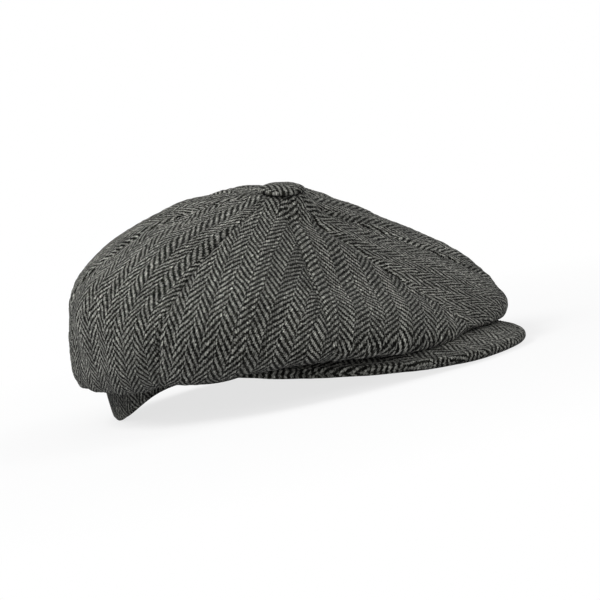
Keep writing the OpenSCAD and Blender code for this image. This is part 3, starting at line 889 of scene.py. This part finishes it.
def build_button():
    origin, side, back, up = button_frame()
    half = (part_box("button_cover")[1][0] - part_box("button_cover")[0][0]) / 2
    height = 6 * MM
    rim = 1.5 * MM
    rows = 97
    a = np.linspace(0, 2 * np.pi, rows - 1, endpoint=False)[:, None]
    climb = np.linspace(np.pi / 2, 0, 26)
    r_top = half * np.cos(climb) ** 0.8
    z_top = rim + (height - rim) * np.sin(climb) ** 0.9
    # Under the rim the cloth turns in and ends round the back plate
    turn = np.linspace(0, 1, 9)[1:]
    r_low = half - (half - 7.5 * MM) * turn**1.6
    z_low = rim * (1 - turn) ** 1.2
    r = np.concatenate([r_top, r_low])[None, :] + 0 * a
    z = np.concatenate([z_top, z_low])[None, :] + 0 * a
    gather = np.sin(a * 23 + 3 * np.sin(3 * a)) * 0.22 * MM * smooth((r - 9 * MM) / (5 * MM))
    r = np.maximum(r + gather, 0.2 * MM)

    def spot(r, z):
        flat = np.cos(a)[..., None] * side + np.sin(a)[..., None] * back
        return origin + flat * r[..., None] + up * z[..., None]

    outer = spot(r, z)
    outer = outer + up * (0.35 * MM * noise_at(outer, 8 * MM, 12))[..., None]
    inner = spot(np.maximum(r - 1.3 * MM, 0.15 * MM), np.where(z > rim, z - 1.4 * MM, z + 0.9 * MM))
    uvs = np.stack([r * np.cos(a) / MM + 40.0, r * np.sin(a) / MM + 70.0], -1)
    # Rows turn the other way from the crown's, so the faces are swapped
    if np.dot(np.cross(side, back), up) > 0:
        obj = closed_sheet("button_cover", inner, outer, uvs, True)
    else:
        obj = closed_sheet("button_cover", outer, inner, uvs, True)
    wear(obj, TWEED, "tweed", "cap", "button_cover")


def dress_cad_nodes():
    """CAD pieces whose shape is already right only get a finish."""
    finishes = {
        "button_shell": STEEL,
        "button_back_plate": STEEL,
        "button_shank": STEEL,
        "button_washer": STEEL,
        "snap_stud": STUD_METAL,
        "snap_socket": STUD_METAL,
        "peak_board": BOARD,
    }
    for name, material in finishes.items():
        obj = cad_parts[name]
        if not obj.material_slots:
            obj.data.materials.append(material)
        for slot in obj.material_slots:
            slot.material = material


# ---------- studio ----------


def camera_only(shader):
    """1 for what the camera sees directly and 0 for what only gives light."""
    return shader.node("ShaderNodeLightPath").outputs["Is Camera Ray"]


def floor_material():
    s = Shader("pale_floor")
    x, y, _ = s.split(s.place())
    far = s.math("SQRT", s.math("ADD", s.math("MULTIPLY", x, x), s.math("MULTIPLY", y, y)))
    fade = s.math("DIVIDE", s.math("SUBTRACT", far, 0.1), 0.4, clamp=True)
    s.finish((0.93, 0.93, 0.93, 1), 0.8, specular=0.0)
    glow = s.node("ShaderNodeEmission")
    glow.inputs["Color"].default_value = (1, 1, 1, 1)
    pale = s.node("ShaderNodeMixShader")
    s.link(s.math("ADD", FLOOR_GLOW, s.math("MULTIPLY", fade, 1 - FLOOR_GLOW)), pale.inputs[0])
    s.link(s.bsdf.outputs[0], pale.inputs[1])
    s.link(glow.outputs[0], pale.inputs[2])
    dull = s.node("ShaderNodeBsdfDiffuse")
    dull.inputs["Color"].default_value = (0.5, 0.5, 0.52, 1)
    seen = s.node("ShaderNodeMixShader")
    s.link(camera_only(s), seen.inputs[0])
    s.link(dull.outputs[0], seen.inputs[1])
    s.link(pale.outputs[0], seen.inputs[2])
    s.link(seen.outputs[0], s.tree.nodes["Material Output"].inputs["Surface"])
    return s.material


FLOOR_GLOW = 0.75  # how much of the floor's white is its own, so that the shadow stays faint
WORLD_LIGHT = (0.29, 0.29, 0.3, 1)


def area_light(name, place, size, power, aim):
    data = bpy.data.lights.new(name, "AREA")
    data.shape = "DISK"
    data.size = size
    data.energy = power
    lamp = bpy.data.objects.new(name, data)
    lamp.location = place
    lamp.rotation_euler = (Vector(aim) - Vector(place)).to_track_quat("-Z", "Y").to_euler()
    bpy.context.scene.collection.objects.link(lamp)


def build_studio():
    ring = np.linspace(0, 2 * np.pi, 96, endpoint=False)
    radius = 4.0
    verts = [(radius * np.cos(w), radius * np.sin(w), 0) for w in ring]
    floor = new_object("floor", verts, [tuple(range(len(verts)))])
    floor.data.materials.append(floor_material())
    world = bpy.data.worlds.new("studio")
    bpy.context.scene.world = world
    world.use_nodes = True
    tree = world.node_tree
    background = tree.nodes["Background"]
    path = tree.nodes.new("ShaderNodeLightPath")
    mix = tree.nodes.new("ShaderNodeMix")
    mix.data_type = "RGBA"
    mix.inputs[6].default_value = WORLD_LIGHT
    mix.inputs[7].default_value = (1, 1, 1, 1)
    tree.links.new(path.outputs["Is Camera Ray"], mix.inputs[0])
    tree.links.new(mix.outputs[2], background.inputs["Color"])
    centre = (0, -0.03, 0.06)
    area_light("key", (-0.5, 0.85, 1.3), 1.0, 18, centre)
    area_light("side_light", (0.7, -1.0, 0.9), 1.0, 4.5, centre)
    area_light("front_fill", (-1.2, -0.6, 0.5), 1.0, 3, centre)
    bpy.context.scene.view_settings.view_transform = "Standard"


CAMERA_AZIMUTH = 307.2
CAMERA_ELEVATION = 4.43
CAMERA_ROLL = -12.85
CAMERA_DISTANCE = 1.8
VIEW_WIDTH = 0.364  # how much of the scene the frame spans at the cap
# The middle of the frame, from the cap's middle, to the right and up in the frame
FRAME_SHIFT = (0.0131, -0.0067)
CAP_MIDDLE = np.array([0, -0.025, 0.0585])


def build_camera():
    az, el, roll = np.radians([CAMERA_AZIMUTH, CAMERA_ELEVATION, CAMERA_ROLL])
    back = np.array([np.sin(az) * np.cos(el), -np.cos(az) * np.cos(el), np.sin(el)])
    level = np.array([np.cos(az), np.sin(az), 0])
    rise = np.cross(back, level)
    right = level * np.cos(roll) + rise * np.sin(roll)
    up = -level * np.sin(roll) + rise * np.cos(roll)
    aim = CAP_MIDDLE + right * FRAME_SHIFT[0] + up * FRAME_SHIFT[1]
    data = bpy.data.cameras.new("camera")
    data.sensor_width = 36
    data.lens = 36 * CAMERA_DISTANCE / VIEW_WIDTH
    camera = bpy.data.objects.new("camera", data)
    turn = Matrix(np.stack([right, up, back], 1).tolist()).to_4x4()
    camera.matrix_world = Matrix.Translation(aim + back * CAMERA_DISTANCE) @ turn
    bpy.context.scene.collection.objects.link(camera)
    bpy.context.scene.camera = camera


build_crown()
build_band()
build_label()
build_lining()
build_peak()
build_button()
dress_cad_nodes()
build_studio()
build_camera()
